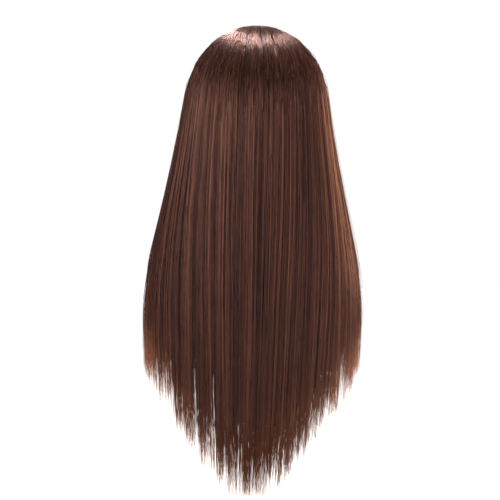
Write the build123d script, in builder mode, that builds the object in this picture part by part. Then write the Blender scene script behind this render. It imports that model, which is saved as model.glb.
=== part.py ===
from build123d import *
import os

# Hairdresser's training head with long straight hair, in millimetres.
#
# +Z is up and the face looks along -Y. The origin is the centre of the holder socket's mouth, on the
# underside of the neck. A soft vinyl face and a rooted scalp close round a rigid foam core. A plastic
# disc shuts the neck, and a flanged socket is screwed to it. The hair hangs in sections, well below
# the neck.

# ---- Driving dimensions -------------------------------------------------------------------------
# Head
neck_height = 78.0          # underside of the neck to the chin
head_height = 206.0         # chin to the top of the scalp
head_width = 146.0
head_depth = 190.0          # forehead to the back of the skull
skin_wall = 3.5
# Neck
neck_width = 102.0
neck_depth = 104.0
neck_flare = 8.0            # how far the foot of the neck stands out beyond the neck, all round
# Face
eye_spacing = 62.0          # pupil to pupil
orbit_width = 40.0          # the hollow of the face round each eye
orbit_height = 25.0
orbit_depth = 7.0
orbit_share = 0.88          # its middle's distance from the nose, as a share of the pupil's
eye_radius = 12.0
eye_setback = 9.0           # the front of the eyeball behind the forehead
eye_opening_width = 30.0
eye_opening_height = 12.5
iris_radius = 5.8
iris_thickness = 0.8
iris_depth = 3.0            # front of the eyeball to the back of the iris
cornea_bulge = 0.9
nose_length = 46.0
nose_width = 32.0
nose_reach = 17.0           # how far the tip stands in front of the upper lip
mouth_width = 50.0
lip_height = 9.0
ear_length = 60.0
ear_width = 33.0
ear_reach = 7.0             # how far an ear stands out from the side of the head
ear_root = 2.0              # how far it runs into the head
ear_lean = -12.0            # degrees, the top leaning back
ear_hollow_share = 0.3      # the hollow's half size as a share of the ear
ear_hollow_depth = 3.5
lid_edge = 4.0              # the lids beyond each corner of the eye
lash_length = 8.0
lash_thickness = 0.7
# Socket for the holder's post, and what holds it
socket_bore_radius = 11.0
socket_bore_depth = 80.0
socket_wall = 3.5
socket_flange_radius = 27.0
socket_flange_thickness = 3.0
rib_count = 8                # a multiple of the screw count
rib_reach = 6.0
rib_root = 1.5               # how far a rib runs into the socket's wall
rib_thickness = 2.5
base_thickness = 9.0
screw_count = 4
screw_radius = 1.75
screw_head_radius = 3.4
screw_head_height = 1.8
screw_length = 8.0
# Hair
hair_length = 533.0         # top of the hair to its longest tip
hair_width = 243.0          # at its widest, below the neck
hair_over_crown = 9.0
hair_over_side = 10.0       # over the skull, at ear level
hair_over_back = 10.0
curtain_thickness = 23.0    # where the hair hangs free
nape_thickness = 12.0
rest_room = 40.0            # height kept free of hair under the foot of the neck
hem_rise = 155.0            # how much higher the sides end than the middle of the back
nape_share = 0.82           # of the hair's length below the neck
# Clearances
fit_gap = 0.3               # between pieces that seat in each other
screw_gap = 0.05
hair_gap = 0.5              # between the hair and what it lies on
section_gap = 0.6           # between two sections of hair

# ---- Places worked out from them ----------------------------------------------------------------
crown_z = neck_height + head_height
half_width = head_width / 2
half_depth = head_depth / 2
head_y = -5.0                                   # the skull's middle, a little ahead of the neck's
face_front_y = head_y - half_depth
skull_back_y = head_y + half_depth
third = 0.27 * head_height                      # hairline to brow, brow to nose and nose to chin
nose_base_z = neck_height + third
brow_z = neck_height + 2 * third
hairline_z = neck_height + 3 * third + 2.0
eye_z = brow_z - 12.0
mouth_z = nose_base_z - 19.0
ear_z = (brow_z + nose_base_z) / 2 + 3.0
ear_y = head_y + 10.0
eye_y = face_front_y + eye_setback + eye_radius
socket_outer_radius = socket_bore_radius + socket_wall
screw_circle_radius = (socket_outer_radius + socket_flange_radius) / 2
screw_angle = 180 / rib_count                   # midway between two ribs
hair_top_z = crown_z + hair_over_crown
hem_z = hair_top_z - hair_length
hair_back_y = skull_back_y + hair_over_back
BEYOND = 400.0                                  # longer than anything that is cut

os.makedirs("parts", exist_ok=True)
written = []


def save(name, part):
    """Labels a finished piece and writes it to its own file."""
    part.label = name
    export_step(part, f"parts/{name}.step")
    written.append(name)
    print(f"{name}: {len(part.solids())} solid(s), {part.volume / 1000:.1f} cm3")


def stack(stations):
    """A smooth solid through level ellipses. Each station is (height, half width, front y, back y)."""
    with BuildPart() as body:
        for height, half, front, back in stations:
            with BuildSketch(Plane.XY.offset(height)):
                with Locations((0, (front + back) / 2)):
                    Ellipse(half, (back - front) / 2)
        loft()
    return body.part


def side_block(outline):
    """A block across the whole head whose side outline is given as (y, z) corners."""
    with BuildPart() as block:
        with BuildSketch(Plane.YZ):
            with BuildLine():
                Polyline(*outline, close=True)
            make_face()
        extrude(amount=BEYOND, both=True)
    return block.part


# ---- Head form ----------------------------------------------------------------------------------
# Shares of the head: height above the chin, half width, distance ahead of and behind the middle.
SKULL = [
    (0.00, 0.30, 0.93, -0.46),
    (0.05, 0.54, 0.97, -0.10),
    (0.13, 0.73, 1.00, 0.25),
    (0.24, 0.85, 1.01, 0.58),
    (0.38, 0.93, 1.01, 0.82),
    (0.52, 0.985, 1.00, 0.95),
    (0.66, 1.00, 0.995, 1.00),
    (0.78, 0.955, 0.94, 0.97),
    (0.88, 0.81, 0.80, 0.85),
    (0.95, 0.58, 0.57, 0.62),
    (0.985, 0.34, 0.33, 0.37),
    (1.00, 0.09, 0.07, 0.10),
]


def skull_form(inset):
    """The head from the chin up, taken in by inset all round."""
    stations = []
    for up, wide, ahead, behind in SKULL:
        height = neck_height + inset + up * (head_height - 2 * inset)
        stations.append((
            height,
            max(wide * half_width - inset, 1.5),
            head_y - ahead * half_depth + inset,
            max(head_y + behind * half_depth - inset, head_y - ahead * half_depth + inset + 3.0),
        ))
    return stack(stations)


def neck_form(inset):
    """The neck from its flared foot to inside the skull, taken in by inset all round."""
    half_w = neck_width / 2 - inset
    half_d = neck_depth / 2 - inset
    foot_w = half_w + neck_flare
    foot_d = half_d + neck_flare
    return stack([
        (0, foot_w, -foot_d, foot_d),
        (0.10 * neck_height, foot_w - 0.1 * neck_flare, 0.1 * neck_flare - foot_d, foot_d - 0.1 * neck_flare),
        (0.45 * neck_height, half_w, -half_d, half_d),
        (0.85 * neck_height, 0.97 * half_w, -0.93 * half_d, half_d + 1.0),
        (neck_height + 0.14 * head_height, 0.97 * half_w, -0.80 * half_d, half_d + 5.0),
        (neck_height + 0.38 * head_height, 0.95 * half_w, -0.70 * half_d, half_d + 14.0),
    ])


def ball(radii, centre, turn=(0, 0, 0)):
    """An ellipsoid with these radii."""
    with BuildPart() as unit:
        Sphere(1.0)
        scale(by=radii)
    return Location(centre, turn) * unit.part


sides = (("left", 1), ("right", -1))            # the head's own left is at +X


def head_form(inset):
    """Skull and neck together, with the hollow of the face round each eye."""
    with BuildPart() as form:
        add(skull_form(inset))
        add(neck_form(inset))
        for _, sign in sides:
            add(ball((orbit_width / 2 + inset, orbit_depth + inset, orbit_height / 2 + inset),
                     (sign * orbit_share * eye_spacing / 2, face_front_y, eye_z)), mode=Mode.SUBTRACT)
    return form.part


eye_centres = {name: (sign * eye_spacing / 2, eye_y, eye_z) for name, sign in sides}

# Side outline of the hairline, from ahead of the forehead to the nape. The scalp lies above and behind.
hairline = [
    (face_front_y - 30, hairline_z + 18),
    (face_front_y + 8, hairline_z),
    (face_front_y + 38, brow_z + 14),
    (ear_y - 32, ear_z + 4),
    (ear_y - 16, ear_z + 34),
    (ear_y + 14, ear_z + 36),
    (ear_y + 26, ear_z + 2),
    (ear_y + 34, neck_height + 42),
    (skull_back_y + 20, neck_height + 6),
]
scalp_block = side_block([*hairline, (BEYOND, hairline[-1][1]), (BEYOND, BEYOND), (hairline[0][0], BEYOND)])
seam_block = side_block(
    [(y, z - fit_gap) for y, z in hairline]
    + [(BEYOND, hairline[-1][1]), (BEYOND, BEYOND), (hairline[0][0], BEYOND)]
)

outer_form = head_form(0)
inner_form = head_form(skin_wall)


# ---- Face and scalp -----------------------------------------------------------------------------
def nose():
    """A wedge that widens and comes forward from the bridge to the tip."""
    bridge_z = nose_base_z + nose_length
    lip_y = face_front_y + 1.0
    with BuildPart() as wedge:
        for height, half, tip in (
            (bridge_z, 0.16 * nose_width, 0.02 * nose_reach),
            (bridge_z - 0.45 * nose_length, 0.22 * nose_width, 0.50 * nose_reach),
            (bridge_z - 0.82 * nose_length, 0.34 * nose_width, 1.00 * nose_reach),
            (nose_base_z, 0.44 * nose_width, 0.62 * nose_reach),
        ):
            with BuildSketch(Plane.XY.offset(height)):
                with Locations((0, lip_y + 4.0 - tip / 2)):
                    Ellipse(half, 4.0 + tip / 2)
        loft()
    return wedge.part


def ear_form(sign, grow):
    """An ear without its hollow, made larger by grow all round."""
    return ball((ear_reach + ear_root + grow, ear_width / 2 + grow, ear_length / 2 + grow),
                (sign * (half_width - ear_root), ear_y, ear_z), (ear_lean, 0, 0))


def ear(sign):
    """An ear with its hollow, leaning back a little."""
    hollow_radii = (ear_hollow_depth, ear_hollow_share * ear_width, ear_hollow_share * ear_length)
    hollow_centre = (sign * (half_width + ear_reach + 0.15 * ear_hollow_depth), ear_y - 0.06 * ear_width,
                     ear_z + 0.05 * ear_length)
    with BuildPart() as shape:
        add(ear_form(sign, 0))
        add(ball(hollow_radii, hollow_centre, (ear_lean, 0, 0)), mode=Mode.SUBTRACT)
    return shape.part


def eye_pocket(centre, gap):
    """The round room behind the lids, with the almond-shaped opening in front of it."""
    x, y, z = centre
    with BuildPart() as pocket:
        with Locations(centre):
            Sphere(eye_radius + gap)
        with BuildSketch(Plane((x, y, z), x_dir=(1, 0, 0), z_dir=(0, -1, 0))):
            Ellipse(eye_opening_width / 2, eye_opening_height / 2)
        extrude(amount=3 * eye_radius)
    return pocket.part


with BuildPart() as face_skin:
    add(outer_form)
    add(nose())
    for _, sign in sides:
        add(ear(sign))
        add(ball((eye_opening_width / 2 + lid_edge, 0.75 * eye_radius, 0.92 * eye_radius),
                 (sign * eye_spacing / 2, eye_y - 0.29 * eye_radius, eye_z)))
    add(ball((mouth_width / 2, 6.0, 0.55 * lip_height), (0, face_front_y + 2.5, mouth_z + 0.45 * lip_height)))
    add(ball((0.88 * mouth_width / 2, 6.5, 0.6 * lip_height), (0, face_front_y + 3.0, mouth_z - 0.5 * lip_height)))
    add(inner_form, mode=Mode.SUBTRACT)
    for centre in eye_centres.values():
        add(eye_pocket(centre, fit_gap), mode=Mode.SUBTRACT)
    add(seam_block, mode=Mode.SUBTRACT)
save("face_skin", face_skin.part)

with BuildPart() as scalp_cap:
    add(outer_form)
    add(inner_form, mode=Mode.SUBTRACT)
    add(scalp_block, mode=Mode.INTERSECT)
save("scalp_cap", scalp_cap.part)


# ---- Eyes and lashes ----------------------------------------------------------------------------
def facing(centre, ahead):
    """A plane that looks along -Y, this far ahead of an eye's centre."""
    x, y, z = centre
    return Plane((x, y - ahead, z), x_dir=(1, 0, 0), z_dir=(0, -1, 0))


for name, sign in sides:
    centre = eye_centres[name]
    iris_back = eye_radius - iris_depth
    with BuildPart() as eyeball:
        with Locations(centre):
            Sphere(eye_radius)
        with BuildSketch(facing(centre, iris_back)):
            Circle(iris_radius + fit_gap / 2)
        extrude(amount=eye_radius, mode=Mode.SUBTRACT)
    save(f"eyeball_{name}", eyeball.part)

    with BuildPart() as iris:
        with BuildSketch(facing(centre, iris_back)):
            Circle(iris_radius)
        extrude(amount=iris_thickness)
    save(f"iris_{name}", iris.part)

    with BuildPart() as cornea:
        with BuildSketch(facing(centre, iris_back + iris_thickness)):
            Circle(iris_radius)
        extrude(amount=eye_radius)
        dome = Location((centre[0], centre[1] - cornea_bulge, centre[2])) * Sphere(eye_radius, mode=Mode.PRIVATE)
        add(dome, mode=Mode.INTERSECT)
    save(f"cornea_{name}", cornea.part)

    lid_radius = eye_radius + fit_gap + 0.5
    with BuildPart() as lashes:
        with BuildSketch(Plane.XY.offset(eye_z + 0.38 * eye_opening_height)):
            with Locations(centre[:2]):
                Circle(lid_radius + lash_length)
                Circle(lid_radius, mode=Mode.SUBTRACT)
                reach = lid_radius + 2 * lash_length
                Polygon((0, 0), (-0.8 * reach, -reach), (0.8 * reach, -reach), align=None, mode=Mode.INTERSECT)
        extrude(amount=lash_thickness)
        add(face_skin.part, mode=Mode.SUBTRACT)
    save(f"lashes_{name}", lashes.part)


# ---- Socket, neck disc and screws ---------------------------------------------------------------
def socket_body(grow):
    """The socket's outside, with its ribs and flange, made larger by grow all round."""
    top = socket_bore_depth + socket_wall + grow
    with BuildPart() as body:
        with BuildSketch():
            Circle(socket_flange_radius + grow)
        extrude(amount=socket_flange_thickness + grow)
        with BuildSketch():
            Circle(socket_outer_radius + grow)
        extrude(amount=top)
        with BuildSketch():
            with PolarLocations(0, rib_count):
                with Locations((socket_outer_radius + (rib_reach - rib_root) / 2, 0)):
                    Rectangle(rib_reach + rib_root + 2 * grow, rib_thickness + 2 * grow)
        extrude(amount=0.8 * socket_bore_depth + grow)
    return body.part


with BuildPart() as screws:
    with BuildSketch():
        with PolarLocations(screw_circle_radius, screw_count, start_angle=screw_angle):
            Circle(screw_radius)
    extrude(amount=screw_length)
    with BuildSketch():
        with PolarLocations(screw_circle_radius, screw_count, start_angle=screw_angle):
            Circle(screw_head_radius)
    extrude(amount=screw_head_height)
    slots = screws.part.faces().filter_by(Plane.XY).group_by(Axis.Z)[0]
    with Locations(*[face.center() for face in slots]):
        Box(1.2 * screw_head_radius, 0.8, 1.2, mode=Mode.SUBTRACT)
        Box(0.8, 1.2 * screw_head_radius, 1.2, mode=Mode.SUBTRACT)
save("socket_screws", screws.part)

with BuildPart() as clamp_socket:
    add(socket_body(0))
    with BuildSketch():
        Circle(socket_bore_radius)
    extrude(amount=socket_bore_depth, mode=Mode.SUBTRACT)
    with BuildSketch():
        with PolarLocations(screw_circle_radius, screw_count, start_angle=screw_angle):
            Circle(screw_head_radius + fit_gap)
    extrude(amount=screw_head_height + screw_gap, mode=Mode.SUBTRACT)
    with BuildSketch():
        with PolarLocations(screw_circle_radius, screw_count, start_angle=screw_angle):
            Circle(screw_radius + screw_gap)
    extrude(amount=socket_flange_thickness, mode=Mode.SUBTRACT)
save("clamp_socket", clamp_socket.part)

with BuildPart() as neck_base:
    add(neck_form(skin_wall + fit_gap))
    add(Pos(0, 0, base_thickness) * Box(BEYOND, BEYOND, BEYOND, align=(Align.CENTER, Align.CENTER, Align.MIN),
                                        mode=Mode.PRIVATE), mode=Mode.SUBTRACT)
    add(socket_body(fit_gap), mode=Mode.SUBTRACT)
    with BuildSketch():
        with PolarLocations(screw_circle_radius, screw_count, start_angle=screw_angle):
            Circle(screw_radius + screw_gap)
    extrude(amount=base_thickness, mode=Mode.SUBTRACT)
save("neck_base", neck_base.part)

with BuildPart() as foam_core:                  # a round well behind each eye leaves room for the eyeball
    add(head_form(skin_wall + fit_gap))
    for x, y, z in eye_centres.values():
        with BuildSketch(Plane((x, y + eye_radius + fit_gap, z), x_dir=(1, 0, 0), z_dir=(0, -1, 0))):
            Circle(eye_radius + fit_gap)
        extrude(amount=4 * eye_radius, mode=Mode.SUBTRACT)
    add(Pos(0, 0, base_thickness + fit_gap) * Box(BEYOND, BEYOND, BEYOND,
                                                  align=(Align.CENTER, Align.CENTER, Align.MAX),
                                                  mode=Mode.PRIVATE), mode=Mode.SUBTRACT)
    add(socket_body(fit_gap), mode=Mode.SUBTRACT)
save("foam_core", foam_core.part)

# ---- Hair ---------------------------------------------------------------------------------------
side_w = half_width + hair_over_side            # half width over the ears
free_w = hair_width / 2                         # half width at the widest
drop = hair_top_z - hem_z
hair_outside = stack([
    (hem_z - 5, 0.86 * free_w, -0.74 * hair_back_y, 0.74 * hair_back_y),
    (hair_top_z - 0.76 * drop, 0.97 * free_w, -0.86 * hair_back_y, 0.86 * hair_back_y),
    (hair_top_z - 0.67 * drop, free_w, -0.91 * hair_back_y, 0.91 * hair_back_y),
    (hair_top_z - 0.58 * drop, free_w, -0.95 * hair_back_y, 0.95 * hair_back_y),
    (hair_top_z - 0.49 * drop, 0.955 * free_w, -0.98 * hair_back_y, 0.98 * hair_back_y),
    (hair_top_z - 0.37 * drop, (side_w + free_w) / 2, -1.01 * hair_back_y, 1.01 * hair_back_y),
    (neck_height + 0.42 * head_height, 1.07 * side_w, head_y - half_depth - 5, 1.02 * hair_back_y),
    (neck_height + 0.64 * head_height, side_w, head_y - half_depth - 7, hair_back_y),
    (neck_height + 0.81 * head_height, 0.93 * half_width + hair_over_side - 3, 0.93 * (head_y - half_depth) - 8,
     0.95 * skull_back_y + hair_over_back),
    (neck_height + 0.93 * head_height, 0.66 * half_width + hair_over_side - 2, 0.66 * (head_y - half_depth) - 9,
     0.72 * skull_back_y + hair_over_back),
    (crown_z + 0.35 * hair_over_crown, 0.40 * half_width, -0.40 * half_depth + head_y, 0.38 * skull_back_y),
    (hair_top_z, 0.08 * half_width, head_y - 6, head_y + 6),
])


def hollow(depth):
    """The free space below the jaw, left this deep inside the hair."""
    return stack([
        (hem_z - 20, 0.86 * free_w - depth, -BEYOND / 2, 0.74 * hair_back_y - depth),
        (hair_top_z - 0.67 * drop, free_w - depth, -BEYOND / 2, 0.91 * hair_back_y - depth),
        (hair_top_z - 0.49 * drop, 0.955 * free_w - depth, -BEYOND / 2, 0.98 * hair_back_y - depth),
        (neck_height + 0.10 * head_height, (side_w + free_w) / 2 - depth - 3, -BEYOND / 2, hair_back_y - depth),
        (neck_height + 0.33 * head_height, 0.66 * half_width - 0.5 * depth, -BEYOND / 3,
         0.75 * skull_back_y - 0.5 * depth),
    ])


# What the hair leaves free in front: side outline of its front edge.
front_block = side_block([
    (-BEYOND, hairline_z + 10),
    (face_front_y - 30, hairline_z + 10),
    (face_front_y + 6, hairline_z + 2),
    (face_front_y + 36, brow_z + 14),
    (face_front_y + 47, eye_z - 14),
    (face_front_y + 54, neck_height),
    (face_front_y + 58, 0),
    (face_front_y + 66, hem_z - 20),
    (-BEYOND, hem_z - 20),
])


def below_hem(rise, lowest):
    """What hangs below the hem: an upturned arch that is lowest in the middle of the back."""
    with BuildPart() as block:
        with BuildSketch(Plane.XZ):
            with BuildLine():
                spline = Spline(
                    (-free_w, lowest + rise),
                    (-0.727 * free_w, lowest + 0.60 * rise),
                    (-0.45 * free_w, lowest + 0.28 * rise),
                    (0, lowest),
                    (0.45 * free_w, lowest + 0.28 * rise),
                    (0.727 * free_w, lowest + 0.60 * rise),
                    (free_w, lowest + rise),
                )
                Polyline(
                    spline @ 1,
                    (BEYOND, lowest + rise),
                    (BEYOND, lowest - BEYOND),
                    (-BEYOND, lowest - BEYOND),
                    (-BEYOND, lowest + rise),
                    spline @ 0,
                )
            make_face()
        extrude(amount=BEYOND, both=True)
    return block.part


with BuildPart() as lies_on:                    # what the hair lies on, grown by its clearance
    add(head_form(-hair_gap))
    for _, sign in sides:
        add(ear_form(sign, hair_gap))

with BuildPart() as hair:
    add(hair_outside)
    add(lies_on.part, mode=Mode.SUBTRACT)
    add(hollow(curtain_thickness), mode=Mode.SUBTRACT)
    add(front_block, mode=Mode.SUBTRACT)
    add(below_hem(hem_rise, hem_z), mode=Mode.SUBTRACT)


def sector(start, end):
    """A tall wedge about the head's upright axis, between two angles from the middle of the back."""
    pieces = int((end - start) // 30) + 1
    step = (end - start) / pieces
    rim = [Vector(0, BEYOND).rotate(Axis.Z, -(start + i * step)) for i in range(pieces + 1)]
    with BuildPart() as wedge:
        with BuildSketch(Plane.XY.offset(hem_z - 50)):
            with Locations((0, head_y)):
                with BuildLine():
                    Polyline((0, 0), *[(p.X, p.Y) for p in rim], close=True)
                make_face()
            offset(amount=-section_gap / 2, kind=Kind.INTERSECTION)
        extrude(amount=hair_length + 100)
    return wedge.part


# Angles from the middle of the back, towards the head's left and, negative, its right.
sections = {
    "hair_back_left": (0, 32),
    "hair_back_side_left": (32, 66),
    "hair_side_left": (66, 104),
    "hair_front_left": (104, 180),
    "hair_back_right": (-32, 0),
    "hair_back_side_right": (-66, -32),
    "hair_side_right": (-104, -66),
    "hair_front_right": (-180, -104),
}
for name, (start, end) in sections.items():
    with BuildPart() as section:
        add(hair.part)
        add(sector(start, end), mode=Mode.INTERSECT)
    save(name, section.part)

nape_hem_z = nape_share * hem_z
nape_top_z = neck_height + 0.16 * head_height
for name, sign in sides:
    with BuildPart() as nape:
        add(hollow(curtain_thickness + section_gap))
        add(hollow(curtain_thickness + nape_thickness), mode=Mode.SUBTRACT)
        add(lies_on.part, mode=Mode.SUBTRACT)
        with BuildSketch():                     # room for the holder's rest under the foot
            Ellipse(neck_width / 2 + neck_flare + hair_gap, neck_depth / 2 + neck_flare + hair_gap)
        extrude(amount=-rest_room, mode=Mode.SUBTRACT)
        add(below_hem(hem_rise, nape_hem_z), mode=Mode.SUBTRACT)
        add(sector(0, 62) if sign > 0 else sector(-62, 0), mode=Mode.INTERSECT)
        add(Pos(0, 0, nape_top_z) * Box(BEYOND, BEYOND, BEYOND, align=(Align.CENTER, Align.CENTER, Align.MAX),
                                        mode=Mode.PRIVATE), mode=Mode.INTERSECT)
    save(f"hair_nape_{name}", nape.part)

print(len(written), "nodes")
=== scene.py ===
# %% [markdown]
# # A hairdresser's training head with long straight hair
#
# The head is a soft vinyl face and a rooted scalp closed round a foam core, with a socket in the neck for
# a table clamp. The CAD model gives every size and place. Blender gives the looks: the hair as thousands
# of fine strands, the moulded and painted face, the glass-like eyes with their lashes, and the finish of
# each plastic. Everything is in metres, +Z is up, and the face looks along -Y.

# %% Load the frame
import math
import bpy
import numpy as np
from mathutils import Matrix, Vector


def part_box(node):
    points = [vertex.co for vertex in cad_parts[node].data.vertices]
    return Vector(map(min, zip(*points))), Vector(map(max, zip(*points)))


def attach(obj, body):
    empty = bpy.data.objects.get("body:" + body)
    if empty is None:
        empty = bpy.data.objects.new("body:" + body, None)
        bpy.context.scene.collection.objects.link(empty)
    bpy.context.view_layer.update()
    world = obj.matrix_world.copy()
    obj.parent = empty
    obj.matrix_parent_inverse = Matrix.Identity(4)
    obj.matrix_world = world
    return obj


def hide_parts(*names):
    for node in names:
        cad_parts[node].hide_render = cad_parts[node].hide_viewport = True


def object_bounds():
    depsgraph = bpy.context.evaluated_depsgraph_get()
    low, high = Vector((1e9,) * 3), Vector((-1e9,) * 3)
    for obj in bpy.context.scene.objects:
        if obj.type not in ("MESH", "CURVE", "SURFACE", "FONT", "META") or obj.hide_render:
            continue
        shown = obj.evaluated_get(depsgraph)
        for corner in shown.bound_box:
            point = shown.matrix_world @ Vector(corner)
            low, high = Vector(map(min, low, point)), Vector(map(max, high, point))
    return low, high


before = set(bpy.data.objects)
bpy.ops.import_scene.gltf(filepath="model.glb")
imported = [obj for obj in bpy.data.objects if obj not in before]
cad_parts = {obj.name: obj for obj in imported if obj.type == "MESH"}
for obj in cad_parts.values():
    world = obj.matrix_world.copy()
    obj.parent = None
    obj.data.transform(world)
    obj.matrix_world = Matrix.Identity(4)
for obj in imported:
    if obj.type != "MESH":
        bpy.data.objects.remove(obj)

cad_low, cad_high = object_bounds()
print("CAD box:", [round(v, 4) for v in (*cad_low, *cad_high)])

# %% [markdown]
# The sizes that the new pieces need all come from the frame. The scalp gives the skull's crown, back and
# width, and the hair gives how far out, back and down it hangs. A few shares of those sizes follow, such
# as the height at which the skull is widest.

# %% Sizes from the frame
MM = 0.001
_, scalp_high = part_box("scalp_cap")
eye_low, eye_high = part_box("eyeball_left")
iris_low, iris_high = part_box("iris_left")

crown = scalp_high.z                              # top of the scalp
skull_back = scalp_high.y
skull_half = scalp_high.x                         # half the skull's width
hair_top, hem = cad_high.z, cad_low.z
hair_half = cad_high.x                            # half the hair's greatest width
hair_back = cad_high.y
cover = hair_top - crown                          # how thick the hair lies on the scalp
temple = crown - 79 * MM                          # the skull is widest here, and the hair turns down
HALF_DEEP = 95 * MM                               # the skull's middle to its back, and to the forehead
skull_y = skull_back - HALF_DEEP                  # the skull's middle, front to back
print("crown", round(crown, 4), "hair", round(hair_top, 4), "to", round(hem, 4), "cover", round(cover, 4))

# %% [markdown]
# The camera stands straight behind the head, level with the middle of the hair, and far enough away that
# a long lens sees the hair without much perspective. It is made first, so that everything after it can be
# judged from there.

# %% Camera
VIEW_HEIGHT = 0.565                               # what the frame shows, top to bottom
CAMERA_DISTANCE = 2.6
CAMERA_ROLL = -1.2                                # degrees
camera_data = bpy.data.cameras.new("camera")
camera = bpy.data.objects.new("camera", camera_data)
bpy.context.scene.collection.objects.link(camera)
camera_data.sensor_width = 36.0
camera_data.lens = camera_data.sensor_width * (CAMERA_DISTANCE - hair_back / 2) / VIEW_HEIGHT
view_z = hair_top + 28 * MM - VIEW_HEIGHT / 2
camera.location = (0.004, CAMERA_DISTANCE, view_z)
camera.rotation_euler = (math.radians(90), math.radians(CAMERA_ROLL), math.radians(180))
bpy.context.scene.camera = camera
print("camera looks along -Y from", round(CAMERA_DISTANCE, 2), "m")

# %% [markdown]
# Materials are built from nodes. Written out one by one, a simple sum takes many lines, so a small class
# wraps a socket: Python's own signs then add Math nodes, and one method adds any other node. Its settings
# go in first, because they can change which sockets the node has.

# %% A socket that arithmetic can be done on
class Wire:
    """An output socket. Signs on it add Math nodes; node() adds any other node."""

    def __init__(self, tree, socket=None):
        self.tree, self.socket = tree, socket

    def node(self, kind, settings=None, sockets=None, out=0):
        made = self.tree.nodes.new(kind)
        for name, value in (settings or {}).items():
            if name == "stops":
                ramp = made.color_ramp
                while len(ramp.elements) < len(value):
                    ramp.elements.new(0.5)
                for element, (place, colour) in zip(ramp.elements, value):
                    element.position, element.color = place, (*colour, 1.0)
            else:
                setattr(made, name, value)
        for name, value in (sockets or {}).items():
            target = made.inputs[name]
            if isinstance(value, Wire):
                self.tree.links.new(value.socket, target)
            else:
                is_colour = isinstance(value, tuple) and target.type == "RGBA"
                target.default_value = (*value, 1.0) if is_colour else value
        return Wire(self.tree, made.outputs[out])

    def math(self, operation, *values):
        return self.node("ShaderNodeMath", {"operation": operation}, dict(enumerate(values)))

    def __add__(self, other): return self.math("ADD", self, other)
    def __radd__(self, other): return self.math("ADD", other, self)
    def __sub__(self, other): return self.math("SUBTRACT", self, other)
    def __rsub__(self, other): return self.math("SUBTRACT", other, self)
    def __mul__(self, other): return self.math("MULTIPLY", self, other)
    def __rmul__(self, other): return self.math("MULTIPLY", other, self)
    def __truediv__(self, other): return self.math("DIVIDE", self, other)
    def __pow__(self, other): return self.math("POWER", self, other)

    def clamp(self):
        return self.node("ShaderNodeClamp", {}, {"Value": self})

    def step(self, start, end):
        """0 below start, 1 above end, and smooth between them. start may be the higher one."""
        return self.node("ShaderNodeMapRange", {"interpolation_type": "SMOOTHSTEP"},
                         {"Value": self, "From Min": start, "From Max": end})

    def mix(self, low, high):
        """A colour from low to high as this value goes from 0 to 1."""
        return self.node("ShaderNodeMix", {"data_type": "RGBA"}, {0: self, 6: low, 7: high}, out=2)

    def noise(self, scale, detail=3.0, roughness=0.5, where=None):
        return self.node("ShaderNodeTexNoise", {}, {"Vector": where or self.place(), "Scale": scale,
                                                   "Detail": detail, "Roughness": roughness})

    def place(self):
        """Where the point is, in metres, in the object's own frame."""
        return self.node("ShaderNodeTexCoord", out=3)

    def axes(self, where=None):
        """The three parts of a place, or of any vector."""
        split = self.node("ShaderNodeSeparateXYZ", {}, {0: where or self.place()})
        return [Wire(self.tree, split.socket.node.outputs[i]) for i in range(3)]


def finish_of(name, colour, roughness=0.5, bump=None, bump_depth=0.0, **fixed):
    """A Principled material. colour, roughness and bump are functions of a Wire, or plain values."""
    made = bpy.data.materials.new(name)
    made.use_nodes = True
    tree = made.node_tree
    shader = tree.nodes["Principled BSDF"]
    start = Wire(tree)
    for socket, value in (("Base Color", colour), ("Roughness", roughness)):
        value = value(start) if callable(value) else value
        if isinstance(value, Wire):
            tree.links.new(value.socket, shader.inputs[socket])
        else:
            shader.inputs[socket].default_value = (*value, 1.0) if isinstance(value, tuple) else value
    if bump:
        raised = start.node("ShaderNodeBump", {},
                            {"Height": bump(start), "Distance": bump_depth, "Strength": 1.0})
        tree.links.new(raised.socket, shader.inputs["Normal"])
    for socket, value in fixed.items():
        shader.inputs[socket.replace("_", " ")].default_value = value
    return made


# %% [markdown]
# ## The hair
#
# On the real head thousands of fibres are rooted in the scalp, parted along the middle in front and
# fanned out from the crown behind. A plain shell with a hair pattern never gets the soft edge and the
# wispy ends, and Blender's own hair objects aren't meshes. So every strand here is a very thin closed
# three-sided tube that tapers to its tip, and its path is worked out from the shape of the head.
#
# A strand is named by two numbers. `across` says which way it falls: 0 is the middle of the back and 1 is
# the front edge beside the face. `depth` says how deep it lies, from 0 outermost to 1 innermost.

# %% The surface that the hair lies on
DOME = np.array([skull_half + cover + 0.5 * MM, hair_back - skull_y, hair_top - temple + 4 * MM])
STEP_DOWN = 140 * MM                              # a quarter turn over the dome is about this long


def smooth_line(at, places, values):
    """Values read off a smooth curve through the given points, which are in rising order."""
    places, values = np.asarray(places), np.asarray(values)
    slopes = np.gradient(values, places)
    i = np.clip(np.searchsorted(places, at) - 1, 0, len(places) - 2)
    width = places[i + 1] - places[i]
    t = np.clip((at - places[i]) / width, 0, 1)
    return ((1 + 2 * t) * (1 - t) ** 2 * values[i] + t ** 2 * (3 - 2 * t) * values[i + 1]
            + width * (t * (1 - t) ** 2 * slopes[i] - t ** 2 * (1 - t) * slopes[i + 1]))


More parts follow.
